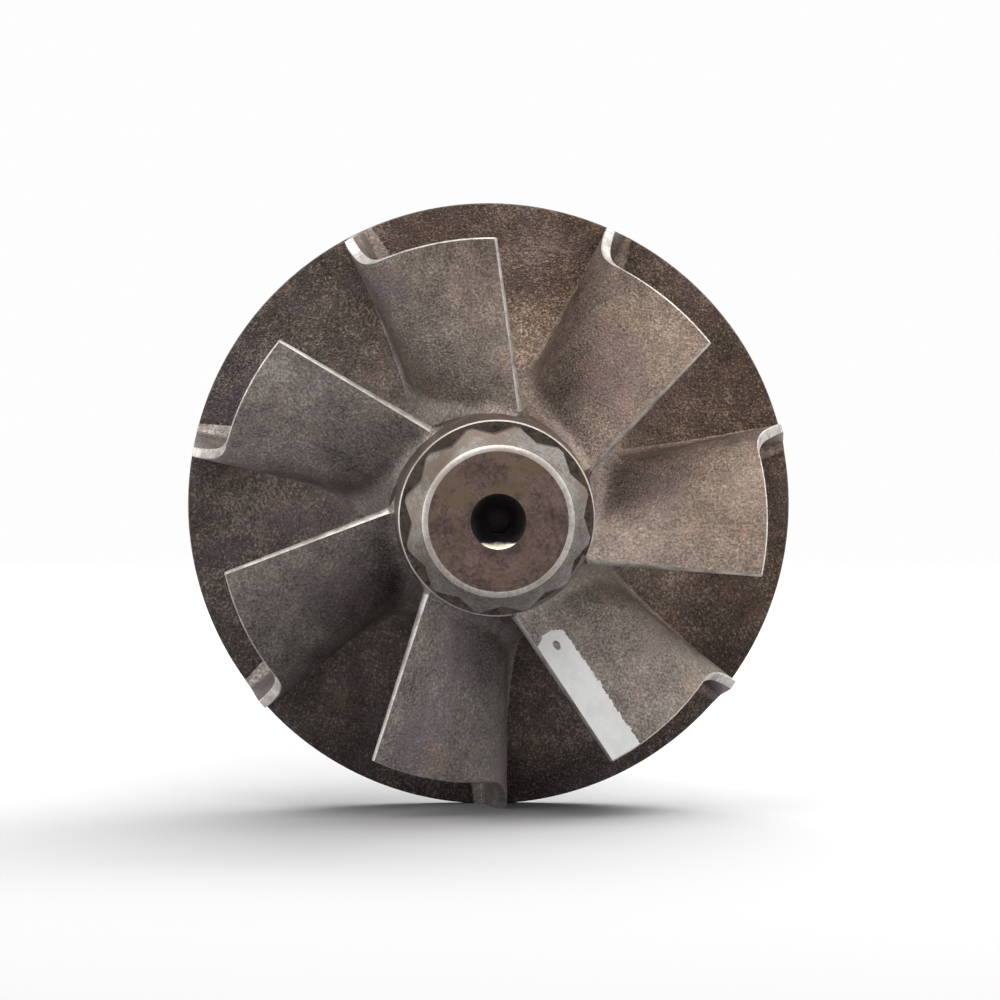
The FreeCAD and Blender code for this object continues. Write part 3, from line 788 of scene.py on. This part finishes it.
def buildWheel():
    names = ["cast", "blade", "painted", "ground", "back", "shoulder", "points", "turned", "face", "hole", "crest",
             "edge"]
    slots = {name: number for number, name in enumerate(names)}
    materials = [
        castMaterial("castHub", hubLook),
        castMaterial("castBlade", castLook),
        castMaterial("castBladeWithPaint", castLook, withPaint=True),
        groundMaterial("groundEdge", groundLook),
        castMaterial("machinedBack", backLook),
        turnedMaterial("stainedShoulder", shoulderLook),
        turnedMaterial("wrenchPoints", turnedLook),
        turnedMaterial("turnedCone", turnedLook),
        turnedMaterial("stainedFace", faceLook),
        turnedMaterial("centreHole", holePaintedShadeLook),
        # the next two carry a painted highlight on the crest and on the shoulder's edge
        turnedMaterial("turnedCrest", crestHighlightLook),
        turnedMaterial("shoulderEdge", edgeHighlightLook),
    ]
    shell = Shell()
    buildHub(shell, slots)
    buildBlades(shell, slots)
    return shell.build("turbineWheel", materials, onWheel, hub["sharpAngle"])


wheelPiece = buildWheel()
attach(wheelPiece, "root")
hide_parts("turbine_wheel")
print("wheel done")

shaftPiece = buildShaft([steelMaterial(f"steel{key.capitalize()}", look) for key, look in steelLook.items()])
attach(shaftPiece, "root")
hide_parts("rotor_shaft")
print("shaft done")


# floor, light and camera

stage = {"floorSize": 900, "fadeStart": 110, "fadeEnd": 300, "floorColor": (0.395, 0.393, 0.398)}


def seenRays(tree):      # the rays that show the background
    camera, glossy, through = [tree.add("ShaderNodeLightPath", {}, {}, ray)
                               for ray in ("Is Camera Ray", "Is Glossy Ray", "Is Transmission Ray")]
    return larger(larger(camera, glossy), through)


def buildFloor():
    s = stage
    half = s["floorSize"] * mm / 2
    level = -rimR * mm
    mesh = bpy.data.meshes.new("floor")
    corners = [(-half, -half, level), (half, -half, level), (half, half, level), (-half, half, level)]
    mesh.from_pydata(corners, [], [(0, 1, 2, 3)])
    floor = bpy.data.objects.new("floor", mesh)
    bpy.context.scene.collection.objects.link(floor)
    material = bpy.data.materials.new("paleFloor")
    tree = Tree(material)
    place = tree.placeInMm()
    x, y, _ = tree.split(place)
    fade = tree.ease((x ** 2 + y ** 2) ** 0.5, s["fadeStart"], s["fadeEnd"])
    seen = seenRays(tree)
    matt = tree.add("ShaderNodeBsdfDiffuse", {}, {"Color": (*s["floorColor"], 1)})
    clear = tree.add("ShaderNodeBsdfTransparent")
    surface = tree.add("ShaderNodeMixShader", {}, {0: fade * seen, 1: matt, 2: clear})
    tree.add("ShaderNodeOutputMaterial", {}, {"Surface": surface})
    mesh.materials.append(material)


studio = {"room": (0.96, 0.975, 1), "worldLevel": 0.2, "background": (0.985, 0.985, 0.985)}


def buildWorld():      # white where it is seen, a paler light on matt surfaces
    world = bpy.data.worlds.new("studio")
    bpy.context.scene.world = world
    tree = Tree(world)
    seen = seenRays(tree)
    room = tree.add("ShaderNodeBackground", {}, {"Color": (*studio["room"], 1), "Strength": studio["worldLevel"]})
    white = tree.add("ShaderNodeBackground", {}, {"Color": (*studio["background"], 1), "Strength": 1})
    surface = tree.add("ShaderNodeMixShader", {}, {0: seen, 1: room, 2: white})
    tree.add("ShaderNodeOutputWorld", {}, {"Surface": surface})


lamps = {      # azimuth from the camera's side toward +X, elevation, distance, width and height
    "overhead": {"azimuth": 4, "elevation": 70, "distance": 450, "size": (300, 260),
                 "watts": 0.9, "color": (1, 0.98, 0.955)},
    "topLeft": {"azimuth": -45, "elevation": 55, "distance": 450, "size": (260, 260),
                "watts": 0.85, "color": (1, 0.985, 0.97)},
    "frontSpot": {"azimuth": 18, "elevation": 50, "distance": 450, "size": (90, 90),
                  "watts": 0.15, "color": (1, 0.97, 0.93)},
    "rightBack": {"azimuth": 108, "elevation": 40, "distance": 450, "size": (480, 480),
                  "watts": 1.3, "color": (1, 0.985, 0.965)},
    "rightLow": {"azimuth": 62, "elevation": 8, "distance": 450, "size": (260, 260),
                 "watts": 0.2, "color": (1, 0.99, 0.98)},
    "leftLow": {"azimuth": -82, "elevation": 5, "distance": 450, "size": (260, 200),
                "watts": 0.6, "color": (0.985, 0.99, 1)},
    "back": {"azimuth": 162, "elevation": 34, "distance": 520, "size": (560, 260),
             "watts": 5.6, "color": (1, 1, 1), "glossy": False},
    "backHigh": {"azimuth": 150, "elevation": 62, "distance": 520, "size": (1000, 700),
                 "watts": 4.0, "color": (1, 1, 1), "glossy": False},
}


def towards(azimuth, elevation):      # a unit vector from the part
    turn, rise = math.radians(azimuth), math.radians(elevation)
    return Vector((math.sin(turn) * math.cos(rise), -math.cos(turn) * math.cos(rise), math.sin(rise)))


def addLamp(name, lamp):
    way = towards(lamp["azimuth"], lamp["elevation"])
    data = bpy.data.lights.new(name, "AREA")
    data.shape = "RECTANGLE"
    data.size, data.size_y = [side * mm for side in lamp["size"]]
    data.energy = lamp["watts"]
    data.color = lamp["color"]
    light = bpy.data.objects.new(name, data)
    light.location = (Vector((0, weldY, 0)) + way * lamp["distance"]) * mm
    light.rotation_euler = (-way).to_track_quat("-Z", "Y").to_euler()
    light.visible_glossy = lamp.get("glossy", True)
    bpy.context.scene.collection.objects.link(light)


view = {
    "azimuth": -1.75, "elevation": 3.0, "distance": 657.0, "lens": 315.6,
    "sensor": 36, "clipStart": 0.05, "clipEnd": 10,
    "discRight": -0.86, "discUp": -0.27,      # where the disc's middle lies in the picture, from its centre
}


def addCamera():
    v = view
    toCamera = towards(v["azimuth"], v["elevation"])
    rotation = (-toCamera).to_track_quat("-Z", "Y")
    right, up = rotation @ Vector((1, 0, 0)), rotation @ Vector((0, 1, 0))
    rimMiddle = Vector((0, weldY - (hub["rimBack"] + hub["rimFront"]) / 2, 0))
    target = rimMiddle - right * v["discRight"] - up * v["discUp"]
    data = bpy.data.cameras.new("camera")
    data.sensor_width = v["sensor"]
    data.lens = v["lens"]
    data.clip_start = v["clipStart"]
    data.clip_end = v["clipEnd"]
    camera = bpy.data.objects.new("camera", data)
    camera.location = (target + toCamera * v["distance"]) * mm
    camera.rotation_euler = rotation.to_euler()
    bpy.context.scene.collection.objects.link(camera)
    bpy.context.scene.camera = camera


buildFloor()
buildWorld()
for lampName, lamp in lamps.items():
    addLamp(lampName, lamp)
addCamera()
bpy.context.scene.view_settings.view_transform = "Standard"
print("stage done")
